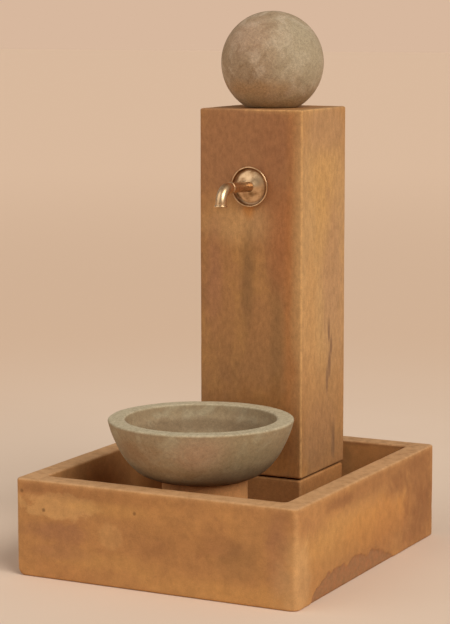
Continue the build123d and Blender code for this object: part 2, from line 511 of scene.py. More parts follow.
def make_grain_group():
    """Fine sandy grain with scattered pin holes, as a colour speckle and a height."""
    tree, inside, out = new_group(
        "cast stone grain",
        "ShaderNodeTree",
        [
            ("Position", VECTOR, None),
            ("Grain Size", FLOAT, 2.5 * mm),
            ("Hole Spacing", FLOAT, 30 * mm),
            ("Hole Size", FLOAT, 0.06),
        ],
        [("Speckle", FLOAT), ("Holes", FLOAT), ("Height", FLOAT)],
    )
    grain_scale = math_node(tree, "DIVIDE", 1.0, inside["Grain Size"])
    grain = noise_node(tree, inside["Position"], grain_scale, 4.0, 0.65)
    rough = noise_node(tree, inside["Position"], math_node(tree, "MULTIPLY", grain_scale, 0.12), 5.0, 0.6)
    hole_scale = math_node(tree, "DIVIDE", 1.0, inside["Hole Spacing"])
    cells = add_node(
        tree, "ShaderNodeTexVoronoi", Vector=inside["Position"], Scale=hole_scale, Randomness=1.0
    )
    chance = add_node(tree, "ShaderNodeSeparateColor", Color=cells.outputs["Color"]).outputs[0]
    width = math_node(tree, "MULTIPLY", inside["Hole Size"], chance)
    holes = ramp(tree, cells.outputs["Distance"], width, math_node(tree, "MULTIPLY", width, 0.4))
    sand = math_node(tree, "MULTIPLY", grain, 0.35)
    sand = math_node(tree, "ADD", sand, math_node(tree, "MULTIPLY", rough, 0.65))
    height = math_node(tree, "SUBTRACT", sand, holes)
    tree.links.new(grain, out["Speckle"])
    tree.links.new(holes, out["Holes"])
    tree.links.new(height, out["Height"])
    return tree


stain_clouds = make_cloud_group()
ragged_outline = make_wander_group()
stain_and_painted_light_patch = make_patch_group()
stone_grain = make_grain_group()
uneven_face = make_uneven_face_tree()
bent_tube = make_bent_tube_tree()


# ---------------------------------------------------------------- finishes

def srgb(red, green, blue):
    """A display colour, 0 to 255, as the linear colour that a shader wants."""
    linear = []
    for value in (red, green, blue):
        share = value / 255
        linear.append(share / 12.92 if share <= 0.04045 else ((share + 0.055) / 1.055) ** 2.4)
    return tuple(linear)


def start_material(name, roughness):
    material = bpy.data.materials.new(name)
    material.use_nodes = True
    tree = material.node_tree
    shader = tree.nodes["Principled BSDF"]
    shader.inputs["Roughness"].default_value = roughness
    shader.inputs["Specular IOR Level"].default_value = 0.25
    place = tree.nodes.new("ShaderNodeTexCoord").outputs["Object"]
    return material, tree, shader, place


def add_bump(tree, shader, height, depth, strength=1.0):
    bump = add_node(tree, "ShaderNodeBump", Strength=strength, Distance=depth, Height=height)
    tree.links.new(bump.outputs[0], shader.inputs["Normal"])


def add_patches(tree, place, colour, patches, stretch=1.0):
    """Lays patches over a colour, each (centre, reach, patch colour, strength, ragged, soft)."""
    wander = use_group(tree, ragged_outline, Position=place, Upright_Stretch=stretch)["Wander"]
    for centre, reach, patch_colour, strength, ragged, soft in patches:
        mask = use_group(
            tree,
            stain_and_painted_light_patch,
            Position=place,
            Wander=wander,
            Centre=centre,
            Reach=reach,
            Ragged=ragged,
            Softness=soft,
        )["Mask"]
        share = math_node(tree, "MULTIPLY", mask, strength)
        colour = blend_colour(tree, share, colour, patch_colour)
    return colour


def stained_stone(
    name, colours, cloud, patches=(), wear_and_highlight=0.0, speckle=0.5, mottle=0.24, grain_depth=0.6 * mm
):
    """Stained cast stone: washes, patches of stain and of painted shade and light, lighter edges of wear
    with a painted highlight, speckle and pin holes.
    """
    material, tree, shader, place = start_material(name, 0.8)
    clouds = use_group(
        tree,
        stain_clouds,
        Position=place,
        Cloud_Size=cloud["size"],
        Upright_Stretch=cloud["stretch"],
        Seed=cloud["seed"],
    )
    grain = use_group(tree, stone_grain, Position=place)
    gold_share = math_node(tree, "MULTIPLY", clouds["Gold"], cloud["gold"])
    colour = blend_colour(tree, gold_share, colours["body"], colours["gold"])
    dark_share = math_node(tree, "MULTIPLY", clouds["Dark"], cloud["dark"])
    colour = blend_colour(tree, dark_share, colour, colours["dark"])
    colour = add_patches(tree, place, colour, patches, cloud["stretch"])
    # lighter edges: real wear, and on the pillar and plinth also a painted highlight along the front
    # right corner, which faces the light
    if wear_and_highlight:
        edge = add_node(tree, "ShaderNodeAttribute", {"attribute_name": "wear_and_highlight"}).outputs["Fac"]
        edge = math_node(tree, "MULTIPLY", edge, math_node(tree, "ADD", 0.75, clouds["Mottle"]))
        edge = math_node(tree, "MULTIPLY", edge, wear_and_highlight, clamp=True)
        colour = blend_colour(tree, edge, colour, colours["wear_and_highlight"])
    if "rim" in colours:
        rim = add_node(tree, "ShaderNodeAttribute", {"attribute_name": "rim"}).outputs["Fac"]
        rim = math_node(tree, "MULTIPLY", rim, math_node(tree, "ADD", 0.55, clouds["Mottle"]))
        colour = blend_colour(tree, math_node(tree, "MINIMUM", rim, 1.0), colour, colours["rim"])
    if "flaked" in colours:
        flaked = add_node(tree, "ShaderNodeAttribute", {"attribute_name": "flaked"}).outputs["Fac"]
        raw = blend_colour(tree, clouds["Mottle"], colours["flaked"], colours["dark"])
        colour = blend_colour(tree, flaked, colour, raw)
    sand = math_node(tree, "SUBTRACT", grain["Speckle"], 0.5)
    sand = math_node(tree, "MULTIPLY", sand, speckle)
    shade = math_node(tree, "MULTIPLY", clouds["Mottle"], mottle)
    shade = math_node(tree, "ADD", math_node(tree, "ADD", shade, 1 - mottle / 2), sand)
    shade_colour = add_node(tree, "ShaderNodeCombineColor", Red=shade, Green=shade, Blue=shade)
    colour = blend_colour(tree, 1.0, colour, shade_colour.outputs[0], "MULTIPLY")
    hole_share = math_node(tree, "MULTIPLY", grain["Holes"], 0.6)
    colour = blend_colour(tree, hole_share, colour, colours["hole"])
    tree.links.new(colour, shader.inputs["Base Color"])
    add_bump(tree, shader, grain["Height"], grain_depth)
    return material


STAIN = {
    "body": srgb(183, 131, 79),
    "gold": srgb(204, 147, 84),
    "dark": srgb(160, 108, 70),
    "wear_and_highlight": srgb(208, 158, 104),
    "hole": srgb(80, 50, 30),
}
GOLD = srgb(207, 156, 88)
OCHRE = srgb(205, 136, 66)
PALE = srgb(214, 170, 116)
UMBER = srgb(140, 92, 56)
PLUM = srgb(146, 98, 74)
MOSS = srgb(128, 96, 60)


def make_basin_stone():
    front, right = basin_low.y, basin_high.x
    patches = (
        ((-0.255, front, 0.183), (0.10, 0.05, 0.032), srgb(208, 160, 102), 0.6, 0.5, 0.16),
        ((-0.120, front, 0.190), (0.10, 0.05, 0.016), GOLD, 0.3, 0.4, 0.5),
        ((-0.117, front, 0.125), (0.034, 0.05, 0.034), srgb(206, 156, 98), 0.45, 0.5, 0.2),
        ((-0.130, front, 0.060), (0.16, 0.05, 0.022), GOLD, 0.3, 0.5, 0.6),
        ((0.180, front, 0.022), (0.24, 0.05, 0.026), GOLD, 0.3, 0.5, 0.6),
        ((-0.270, front, 0.118), (0.085, 0.05, 0.024), PLUM, 0.4, 0.5, 0.5),
        ((-0.250, front, 0.070), (0.085, 0.05, 0.018), PLUM, 0.3, 0.5, 0.5),
        ((0.060, front, 0.130), (0.16, 0.05, 0.06), UMBER, 0.25, 0.6, 0.7),
        ((0.330, front, 0.130), (0.030, 0.05, 0.08), PLUM, 0.4, 0.4, 0.6),
        ((0.230, front, 0.100), (0.050, 0.05, 0.05), MOSS, 0.3, 0.5, 0.7),
        ((right, -0.160, 0.120), (0.05, 0.24, 0.055), GOLD, 0.4, 0.5, 0.6),
        ((right, 0.070, 0.110), (0.05, 0.20, 0.05), OCHRE, 0.35, 0.5, 0.6),
        ((right, -0.180, 0.210), (0.05, 0.075, 0.016), UMBER, 0.6, 0.5, 0.6),
        ((right, 0.10, 0.222), (0.05, 0.30, 0.026), UMBER, 0.4, 0.4, 0.6),
        ((-0.17, front, 0.225), (0.24, 0.05, 0.020), UMBER, 0.35, 0.4, 0.6),
        ((right, 0.36, 0.06), (0.05, 0.10, 0.08), UMBER, 0.45, 0.5, 0.6),
        ((0.15, 0.40, 0.243), (0.35, 0.08, 0.01), UMBER, 0.6, 0.4, 0.6),
        ((right, 0.180, 0.185), (0.05, 0.060, 0.03), UMBER, 0.65, 0.5, 0.6),
        ((right, 0.330, 0.160), (0.05, 0.085, 0.10), UMBER, 0.6, 0.6, 0.6),
        ((right, -0.400, 0.060), (0.05, 0.050, 0.09), PALE, 0.5, 0.4, 0.6),
        ((right, 0.0, 0.06), (0.05, 0.5, 0.05), UMBER, 0.3, 0.4, 0.8),
        ((-0.300, front, 0.170), (0.004, 0.02, 0.004), STAIN["hole"], 0.6, 0.4, 0.6),
        ((-0.047, front, 0.188), (0.004, 0.02, 0.004), STAIN["hole"], 0.5, 0.4, 0.6),
        ((-0.362, front, 0.212), (0.004, 0.02, 0.004), STAIN["hole"], 0.5, 0.4, 0.6),
        # painted shade: this last patch darkens the whole inside of the basin, where shade falls
        ((0.0, 0.0, 0.0), (0.33, 0.37, 0.235), srgb(112, 64, 26), 0.9, 0.06, 0.06),
    )
    colours = dict(STAIN, rim=srgb(198, 152, 106), flaked=srgb(156, 114, 76))
    cloud = {"size": 0.22, "stretch": 1.0, "seed": 3.0, "gold": 0.35, "dark": 0.35}
    return stained_stone("stained basin stone with painted inner shade", colours, cloud, patches, wear_and_highlight=0.45)


def make_pillar_stone():
    front, right = pillar_front_y, pillar_high.x
    colours = {
        "body": srgb(172, 123, 77),
        "gold": srgb(188, 138, 80),
        "dark": srgb(150, 106, 68),
        "wear_and_highlight": srgb(214, 164, 104),
        "hole": srgb(90, 60, 36),
    }
    patches = (
        ((-0.02, front, 1.04), (0.16, 0.04, 0.13), srgb(160, 112, 76), 0.75, 0.4, 0.6),
        ((0.09, front, 0.93), (0.05, 0.04, 0.20), srgb(158, 106, 70), 0.6, 0.5, 0.7),
        ((-0.03, front, 0.84), (0.10, 0.04, 0.05), PALE, 0.45, 0.5, 0.7),
        ((0.012, front, 0.875), (0.014, 0.03, 0.022), OCHRE, 0.6, 0.5, 0.6),
        ((0.010, front, 0.71), (0.018, 0.03, 0.11), MOSS, 0.55, 0.45, 0.8),
        ((0.090, front, 0.56), (0.018, 0.03, 0.15), MOSS, 0.4, 0.5, 0.8),
        ((-0.085, front, 0.72), (0.02, 0.03, 0.12), srgb(168, 116, 84), 0.5, 0.4, 0.7),
        ((0.000, front, 0.45), (0.12, 0.03, 0.12), MOSS, 0.15, 0.5, 0.8),
        ((0.110, front, 0.80), (0.035, 0.03, 0.12), srgb(176, 112, 66), 0.5, 0.5, 0.7),
        ((0.060, front, 0.225), (0.12, 0.04, 0.030), OCHRE, 0.5, 0.5, 0.6),
        ((0.060, front, 0.330), (0.16, 0.04, 0.090), srgb(158, 104, 50), 0.6, 0.4, 0.6),
        ((0.138, front, 0.600), (0.022, 0.03, 0.50), srgb(184, 120, 66), 0.5, 0.3, 0.6),
        ((right, 0.19, 0.78), (0.03, 0.20, 0.40), srgb(198, 157, 105), 0.8, 0.2, 0.5),
        ((right, 0.19, 0.36), (0.03, 0.20, 0.12), srgb(176, 130, 82), 0.6, 0.3, 0.6),
        ((right, 0.20, 0.90), (0.03, 0.07, 0.16), GOLD, 0.4, 0.5, 0.7),
        ((right, 0.21, 1.07), (0.03, 0.12, 0.06), srgb(176, 134, 96), 0.6, 0.5, 0.6),
        ((right, 0.26, 0.70), (0.03, 0.07, 0.20), srgb(176, 134, 98), 0.6, 0.5, 0.6),
        ((right, 0.12, 0.55), (0.03, 0.04, 0.20), srgb(200, 148, 92), 0.4, 0.5, 0.7),
        ((right, 0.232, 0.555), (0.02, 0.007, 0.028), srgb(128, 96, 70), 0.8, 0.5, 0.6),
        ((right, 0.246, 0.515), (0.02, 0.007, 0.026), srgb(128, 96, 70), 0.8, 0.5, 0.6),
        ((right, 0.236, 0.470), (0.02, 0.008, 0.030), srgb(128, 96, 70), 0.8, 0.5, 0.6),
        ((right, 0.222, 0.425), (0.02, 0.007, 0.030), srgb(128, 96, 70), 0.7, 0.5, 0.6),
        ((right, 0.262, 0.26), (0.02, 0.010, 0.045), srgb(132, 98, 68), 0.8, 0.5, 0.6),
        ((right, 0.17, 0.30), (0.03, 0.10, 0.07), srgb(168, 122, 82), 0.5, 0.5, 0.7),
    )
    cloud = {"size": 0.10, "stretch": 1.9, "seed": 5.0, "gold": 0.5, "dark": 0.5}
    return stained_stone("streaked pillar stone", colours, cloud, patches, wear_and_highlight=0.8, mottle=0.34)


def make_plinth_stone():
    colours = dict(STAIN, body=srgb(174, 119, 68), gold=srgb(184, 130, 76), dark=srgb(150, 100, 58))
    cloud = {"size": 0.08, "stretch": 1.0, "seed": 7.0, "gold": 0.4, "dark": 0.4}
    return stained_stone("plain plinth stone", colours, cloud, wear_and_highlight=0.4)


GREYS = {
    "body": srgb(160, 138, 106),
    "gold": srgb(176, 162, 132),
    "dark": srgb(150, 126, 98),
    "wear_and_highlight": srgb(205, 190, 160),
    "hole": srgb(96, 78, 58),
}


def make_bowl_stone():
    x, y, top = bowl_centre.x, bowl_centre.y, bowl_high.z
    colours = dict(GREYS, rim=srgb(188, 174, 144))
    patches = (
        # painted shade: the first patch darkens the inside of the dish; the last makes the bowl darker
        # towards its foot
        ((x, y, top - 0.045), (0.178, 0.178, 0.055), srgb(134, 112, 84), 0.9, 0.05, 0.05),
        ((x + 0.10, y - 0.19, top - 0.05), (0.06, 0.06, 0.035), srgb(178, 142, 112), 0.6, 0.5, 0.7),
        ((x - 0.10, y - 0.20, top - 0.06), (0.10, 0.06, 0.030), srgb(150, 116, 82), 0.6, 0.5, 0.7),
        ((x + 0.18, y - 0.10, top - 0.08), (0.06, 0.10, 0.06), srgb(152, 136, 102), 0.6, 0.4, 0.7),
        ((x, y, top - 0.14), (0.20, 0.20, 0.06), srgb(128, 106, 76), 0.7, 0.3, 0.6),
    )
    cloud = {"size": 0.07, "stretch": 1.0, "seed": 11.0, "gold": 0.6, "dark": 0.5}
    return stained_stone(
        "grey bowl stone", colours, cloud, patches, speckle=0.6, mottle=0.3, grain_depth=0.7 * mm
    )


def make_ball_stone():
    centre = middle_of("ball")
    x, y, z = centre.x, centre.y, ball_low.z
    patches = (
        ((x + 0.13, y - 0.04, z + 0.15), (0.08, 0.10, 0.12), srgb(172, 160, 132), 0.6, 0.4, 0.7),
        ((x - 0.02, y - 0.12, z + 0.045), (0.11, 0.08, 0.022), srgb(176, 138, 94), 0.55, 0.4, 0.6),
        # painted light: this pale patch on the underside stands for light from below, against the shade
        # under the ball
        ((x, y, z + 0.01), (0.12, 0.12, 0.03), srgb(182, 166, 130), 0.7, 0.3, 0.6),
        ((x - 0.03, y - 0.12, z + 0.19), (0.06, 0.06, 0.05), srgb(182, 150, 124), 0.5, 0.4, 0.7),
    )
    colours = dict(GREYS, body=srgb(166, 141, 112), gold=srgb(190, 168, 142), dark=srgb(140, 112, 82))
    cloud = {"size": 0.05, "stretch": 1.0, "seed": 14.0, "gold": 0.75, "dark": 0.65}
    return stained_stone(
        "grey ball stone", colours, cloud, patches, speckle=1.0, mottle=0.4, grain_depth=0.9 * mm
    )


def make_drum_stone():
    tans = dict(STAIN, body=srgb(216, 152, 94), gold=srgb(220, 160, 100), dark=srgb(190, 130, 78))
    cloud = {"size": 0.1, "stretch": 1.0, "seed": 9.0, "gold": 0.3, "dark": 0.4}
    return stained_stone("plain drum stone", tans, cloud)


def make_mortar():
    # a bedding joint, coloured near black as painted shade in the groove between pillar and plinth
    browns = dict(STAIN, body=srgb(60, 38, 22), gold=srgb(70, 46, 28), dark=srgb(45, 28, 16))
    cloud = {"size": 0.05, "stretch": 1.0, "seed": 1.0, "gold": 0.5, "dark": 0.5}
    return stained_stone("bedding mortar darkened as painted joint shade", browns, cloud)


def make_brass():
    material, tree, shader, place = start_material("tarnished brass with painted dish shade", 0.3)
    shader.inputs["Metallic"].default_value = 1.0
    tarnish = noise_node(tree, place, 60.0, 5.0, 0.6)
    tarnish = ramp(tree, tarnish, 0.4, 0.75)
    colour = blend_colour(tree, tarnish, srgb(224, 188, 146), srgb(172, 132, 92))
    # painted shade: a dark ring in the rosette's dish, just inside the bead, where the hollow is in shade
    from_middle = vector_node(tree, "SUBTRACT", place, tuple(rosette_centre))
    from_middle = vector_node(tree, "MULTIPLY", from_middle, (1.0, 0.0, 1.0))
    share = math_node(tree, "DIVIDE", vector_node(tree, "LENGTH", from_middle), rosette_radius)
    near_plate = add_node(tree, "ShaderNodeSeparateXYZ", Vector=place).outputs["Y"]
    near_plate = ramp(tree, near_plate, rosette_low.y - 1 * mm, rosette_low.y + 2 * mm)
    dish_shade = math_node(tree, "MULTIPLY", ramp(tree, share, 0.70, 0.84), ramp(tree, share, 0.96, 0.91))
    dish_shade = math_node(tree, "MULTIPLY", math_node(tree, "MULTIPLY", dish_shade, near_plate), 0.7)
    colour = blend_colour(tree, dish_shade, colour, srgb(92, 52, 26))
    tree.links.new(colour, shader.inputs["Base Color"])
    rough = math_node(tree, "ADD", 0.32, math_node(tree, "MULTIPLY", tarnish, 0.14))
    tree.links.new(rough, shader.inputs["Roughness"])
    scratches = noise_node(tree, place, 700.0, 3.0)
    add_bump(tree, shader, scratches, 0.05 * mm, 0.5)
    return material


basin_stone = make_basin_stone()
pillar_stone = make_pillar_stone()
plinth_stone = make_plinth_stone()
bowl_stone = make_bowl_stone()
ball_stone = make_ball_stone()
drum_stone = make_drum_stone()
mortar = make_mortar()
brass = make_brass()


# ---------------------------------------------------------------- the castings

def mark_wear_and_highlight(mesh, distance_to_edge, width):
    """Stores how near each point is to a corner or rim, 1 on it and 0 beyond the width; this masks the
    lighter edges, wear with a painted highlight.
    """
    layer = mesh.attributes.new("wear_and_highlight", "FLOAT", "POINT")
    near = np.clip(1 - distance_to_edge / width, 0, 1)
    layer.data.foreach_set("value", (near ** 1.5).astype(np.float32))


def mark_rim(mesh, top, depth):
    """Stores a lighter top for a casting: 1 on the upward faces near the top, 0 elsewhere."""
    layer = mesh.attributes.new("rim", "FLOAT", "POINT")
    height = np.array([v.co.z for v in mesh.vertices])
    upward = np.array([v.normal.z for v in mesh.vertices])
    share = np.clip((height - top + depth) / depth, 0, 1) * np.clip(upward * 1.6, 0, 1)
    layer.data.foreach_set("value", share.astype(np.float32))


def block_edge_distance(mesh, centre, half, top, bottom):
    """Distance from each point to the nearest outside edge of an upright block."""
    points = np.array([v.co for v in mesh.vertices])
    to_x = np.abs(half.x - np.abs(points[:, 0] - centre.x))
    to_y = np.abs(half.y - np.abs(points[:, 1] - centre.y))
    to_z = np.minimum(np.abs(top - points[:, 2]), np.abs(points[:, 2] - bottom))
    nearest = np.sort(np.stack([to_x, to_y, to_z]), axis=0)
    return nearest[1]


def flake_outline(y):
    """Height of the broken patch along the foot of the right wall, zero outside it."""
    outline = (
        (-0.345, 0.000), (-0.325, 0.026), (-0.246, 0.054), (-0.150, 0.055), (-0.132, 0.047),
        (-0.090, 0.062), (-0.055, 0.058), (-0.022, 0.042), (0.020, 0.052), (0.053, 0.047),
        (0.110, 0.022), (0.175, 0.000),
    )
    places = [point[0] for point in outline]
    heights = [point[1] for point in outline]
    return np.interp(y, places, heights)


def break_foot(mesh):
    """Breaks a flake of skin off the foot of the right wall, chips the front left foot and
    wears the front right corner rounder, most of all at its foot."""
    count = len(mesh.vertices)
    points = np.empty(count * 3)
    mesh.vertices.foreach_get("co", points)
    points = points.reshape(-1, 3)
    ragged = np.array([noise.noise(Vector(p) * 55) for p in points])
    crumbly = np.array([noise.noise(Vector(p) * 120 + Vector((5, 5, 5))) for p in points])
    x, y, z = points.T
    on_right = x > basin_high.x - 4 * mm
    edge_height = flake_outline(y)
    inside = np.clip((edge_height + 7 * mm * ragged - z) / (4 * mm), 0, 1)
    inside *= on_right * (edge_height > 2 * mm)
    points[:, 0] -= inside * (2.6 + 1.4 * crumbly) * mm
    corner = np.linalg.norm((points - (basin_low.x, basin_low.y, 0)) / (0.018, 0.018, 0.015), axis=1)
    chip = np.clip(1.15 + 0.5 * ragged - corner, 0, 1)
    points[:, :2] += (chip * 5 * mm)[:, None] * (1, 1)
    from_corner = np.hypot(points[:, 0] - basin_high.x, points[:, 1] - basin_low.y)
    wear = (1.5 + 4 * np.clip(1 - z / (30 * mm), 0, 1)) * mm
    rounding = 0.7 * wear * np.clip(1 - from_corner / (22 * mm), 0, 1)
    points[:, 0] -= rounding
    points[:, 1] += rounding
    mesh.vertices.foreach_set("co", points.ravel())
    layer = mesh.attributes.new("flaked", "FLOAT", "POINT")
    layer.data.foreach_set("value", np.clip(inside + chip, 0, 1).astype(np.float32))


def make_basin():
    foot, rim, inside_rim, inner_fillet = 5 * mm, 6 * mm, 6 * mm, 10 * mm
    outer_corner, inner_corner = 12 * mm, 14 * mm
    top = basin_high.z
    section = [(inset, height, outer_corner) for inset, height in (
        arc((foot, foot), foot, 270, 180, 4)
        + spaced((0, foot), (0, 72 * mm), 3 * mm)
        + spaced((0, 72 * mm), (0, top - rim), 7 * mm)
        + arc((rim, top - rim), rim, 180, 90, 6)
    )]
    flat = spaced((rim, top), (BASIN_WALL - inside_rim, top), 6 * mm)
    for inset, height in flat:
        share = inset / BASIN_WALL
        section.append((inset, height, outer_corner + (inner_corner - outer_corner) * share))
    section += [(inset, height, inner_corner) for inset, height in (
        arc((BASIN_WALL - inside_rim, top - inside_rim), inside_rim, 90, 0, 6)
        + spaced((BASIN_WALL, top - inside_rim), (BASIN_WALL, BASIN_FLOOR + inner_fillet), 12 * mm)
        + arc((BASIN_WALL + inner_fillet, BASIN_FLOOR + inner_fillet), inner_fillet, 180, 270, 4)
    )]
    centre = middle_of("basin")
    mesh = swept_block("basin casting", section, centre, basin_half, (120, 250))
    break_foot(mesh)
    mesh = run_tree("basin shape", mesh, uneven_face, {
        "Wave Depth": 1.2 * mm, "Wave Size": 0.12, "Dent Depth": 0.5 * mm, "Dent Size": 0.03,
        "Seed": 2.0, "Stone": basin_stone,
    })
    distance = block_edge_distance(mesh, centre, basin_half, top, -1.0)
    mark_wear_and_highlight(mesh, distance, 16 * mm)
    mark_rim(mesh, top, 8 * mm)
    return add_piece("basin_casting", mesh, basin_stone, "basin")


def upright_block(name, low, high, edges, seed, material, node, spacing=9 * mm):
    """A squared casting with rounded corners: edges are (corner, top, foot) radii."""
    corner, top_edge, foot_edge = edges
    centre = (low + high) / 2
    half = (high - low) / 2
    section = [(half.x * 0.8, low.z)]
    section += arc((foot_edge, low.z + foot_edge), foot_edge, 270, 180, 4)
    section += spaced((0, low.z + foot_edge), (0, high.z - top_edge), spacing)
    section += arc((top_edge, high.z - top_edge), top_edge, 180, 90, 5)
    section += spaced((top_edge, high.z), (half.x * 0.9, high.z), spacing)
    rounded = [(inset, height, min(corner, half.x - inset - 1 * mm)) for inset, height in section]
    mesh = swept_block(name, rounded, centre, half, (34, 34))
    mesh = run_tree(name + " shape", mesh, uneven_face, {
        "Wave Depth": 1.0 * mm, "Wave Size": 0.14, "Dent Depth": 0.4 * mm, "Dent Size": 0.03,
        "Seed": seed, "Stone": material,
    })
    distance = block_edge_distance(mesh, centre, half, high.z, low.z)
    # the lighter edges are strongest at the front right corner, which faces the light, and fade to the
    # left and the back: wear with a painted highlight
    spots = [v.co - centre for v in mesh.vertices]
    fade = np.array([max(0, -spot.x) + max(0, spot.y) for spot in spots])
    mark_wear_and_highlight(mesh, distance + 0.08 * fade, 8 * mm)
    return add_piece(name, mesh, material, node)


def make_ball():
    centre = middle_of("ball")
    radius = (ball_high.x - ball_low.x) / 2
    middle_z = ball_high.z - radius
    flat = math.degrees(math.asin((ball_low.z - middle_z) / radius))
    section = [(0.0, ball_low.z)] + spaced((0, ball_low.z), (0.06, ball_low.z), 15 * mm)
    section += arc((0, middle_z), radius, flat, 89.5, 110)
    section = [(max(r, 0.5 * mm), z) for r, z in section]
    mesh = turned("ball casting", section, centre)
    mesh = run_tree("ball shape", mesh, uneven_face, {
        "Wave Depth": 0.8 * mm, "Wave Size": 0.1, "Dent Depth": 0.4 * mm, "Dent Size": 0.02,
        "Seed": 4.0, "Stone": ball_stone,
    })
    return add_piece("ball_casting", mesh, ball_stone, "ball")


def smooth_line(points, steps=8):
    """A smooth line through a few points (Catmull-Rom)."""
    line = []
    padded = [points[0], *points, points[-1]]
    for k in range(len(points) - 1):
        a, b, c, d = (np.array(p) for p in padded[k:k + 4])
        for step in range(steps):
            t = step / steps
            line.append(tuple(0.5 * (
                2 * b + (c - a) * t + (2 * a - 5 * b + 4 * c - d) * t ** 2
                + (3 * b - a - 3 * c + d) * t ** 3
            )))
    line.append(tuple(points[-1]))
    return line


def make_bowl():
    top, foot = bowl_high.z, bowl_low.z
    drop = top - foot
    lip = 6 * mm
    inner = bowl_radius - 44 * mm
    inner_floor = foot + 27 * mm
    inner_drop = top - inner_floor
    outside = [(0.458, 1.0), (0.58, 0.952), (0.70, 0.85), (0.825, 0.645), (0.905, 0.43), (0.965, 0.22)]
    outside = [(bowl_radius * r, top - drop * z) for r, z in outside]
    outside.append((bowl_radius, top - lip))
    inside = [(0.96, 0.72), (0.80, 0.35), (0.45, 0.06)]
    inside = [(inner * r, inner_floor + inner_drop * z) for r, z in inside]
    section = [(0.5 * mm, foot)] + spaced((0, foot), outside[0], 20 * mm)
    section += smooth_line(outside, 10)
    section += arc((bowl_radius - lip, top - lip), lip, 0, 90, 6)[1:]
    section += spaced((bowl_radius - lip, top), (inner + lip, top), 4 * mm)
    section += arc((inner + lip, top - lip), lip, 90, 180, 7)
    section += smooth_line([(inner, top - lip), *inside, (0.5 * mm, inner_floor)], 10)[1:]
    mesh = turned("bowl casting", section, bowl_centre, 256)
    mesh = run_tree("bowl shape", mesh, uneven_face, {
        "Wave Depth": 1.4 * mm, "Wave Size": 0.07, "Dent Depth": 0.6 * mm, "Dent Size": 0.02,
        "Seed": 6.0, "Stone": bowl_stone,
    })
    mark_rim(mesh, top, 8 * mm)
    return add_piece("bowl_casting", mesh, bowl_stone, "bowl")


def make_drum():
    edge = 3 * mm
    low, high = drum_low.z, drum_high.z
    section = [(0.5 * mm, low)] + spaced((0, low), (drum_radius, low), 20 * mm)
    section += [(drum_radius, low)] + spaced((drum_radius, low), (drum_radius, high - edge), 8 * mm)
    section += arc((drum_radius - edge, high - edge), edge, 0, 90, 4)
    section += spaced((drum_radius - edge, high), (0.5 * mm, high), 20 * mm) + [(0.5 * mm, high)]
    mesh = turned("drum casting", section, drum_centre)
    mesh = run_tree("drum shape", mesh, uneven_face, {
        "Wave Depth": 0.8 * mm, "Wave Size": 0.08, "Dent Depth": 0.3 * mm, "Dent Size": 0.02,
        "Seed": 8.0, "Stone": drum_stone,
    })
    return add_piece("drum_casting", mesh, drum_stone, "bowl_pedestal")


# ---------------------------------------------------------------- the brass spout

def spout_point(out, up, tilt=SPOUT_TILT):
    """A point in the spout's own frame (out from the pillar's face, up), in the model's frame."""
    return Vector((
        rosette_centre.x,
        pillar_front_y - out * math.cos(tilt) + up * math.sin(tilt),
        rosette_centre.z + out * math.sin(tilt) + up * math.cos(tilt),
    ))


def turned_brass(name, section, node, direction, start, around=96):
    """Brass turned about an axis; the section, a closed loop, is (distance along, radius)."""
    axis = direction.normalized()
    side = Vector((1, 0, 0))
    upward = axis.cross(side)
    rings = []
    for along, radius in section:
        ring = []
        for k in range(around):
            angle = 2 * math.pi * k / around
            spoke = side * math.cos(angle) + upward * math.sin(angle)
            ring.append(tuple(start + axis * along + spoke * radius))
        rings.append(ring)
    rings.append(rings[0])
    mesh = mesh_from_rings(name, rings, closed_ends=False)
    return add_piece(name, mesh, brass, node)


def make_rosette():
    depth, bead, boss = 11 * mm, 2.0 * mm, 13 * mm
    hole = PIPE_RADIUS + 0.1 * mm
    seat = rosette_radius - 2 * bead
    dish = [
        (depth - bead, rosette_radius - 2 * bead),
        (4.5 * mm, 0.885 * rosette_radius),
        (2.5 * mm, 0.82 * rosette_radius),
        (2.6 * mm, 0.76 * rosette_radius),
        (5.6 * mm, 0.52 * rosette_radius),
        (boss, hole + 1 * mm),
    ]
    section = [(0, hole), (0, seat)]
    section += spaced((0, seat), (depth - bead, rosette_radius), 1.5 * mm)
    section += arc((depth - bead, rosette_radius - bead), bead, 90, -90, 10)
    section += smooth_line(dish, 8)[1:]
    section += [(boss, hole)]
    turned_brass(
        "rosette", section, "spout_rosette", Vector((0, -1, 0)), spout_point(0, 0), around=160
    )


def spout_axis():
    return (spout_point(1, 0) - spout_point(0, 0)).normalized()


def tube_along(name, points, radii, node):
    """A brass tube along a smooth curve through points in the spout's frame."""
    curve = bpy.data.curves.new(name, "CURVE")
    curve.dimensions = "3D"
    spline = curve.splines.new("POLY")
    spline.points.add(len(points) - 1)
    for point, (out, up) in zip(spline.points, points):
        point.co = (*spout_point(out, up), 1)
    mesh = run_tree(name + " shape", curve, bent_tube, {
        "Start Radius": radii[0], "End Radius": radii[1], "Sides": 64, "Metal": brass,
    }, wall=PIPE_WALL)
    return add_piece(name, mesh, brass, node)


def make_pipe():
    tube_along("pipe", spaced((-61 * mm, 0), (PIPE_REACH + 1 * mm, 0), 1 * mm), (
        PIPE_RADIUS, PIPE_RADIUS
    ), "spout_pipe")


def make_collar():
    inner = PIPE_RADIUS - PIPE_WALL
    half = COLLAR_LENGTH / 2
    section = [(0, inner), (0, COLLAR_RADIUS - 1.5 * mm)]
    section += arc((half, COLLAR_RADIUS - half), half, 180, 0, 10)
    section += [(COLLAR_LENGTH, inner)]
    turned_brass("collar", section, "spout_collar", spout_axis(), spout_point(PIPE_REACH, 0))


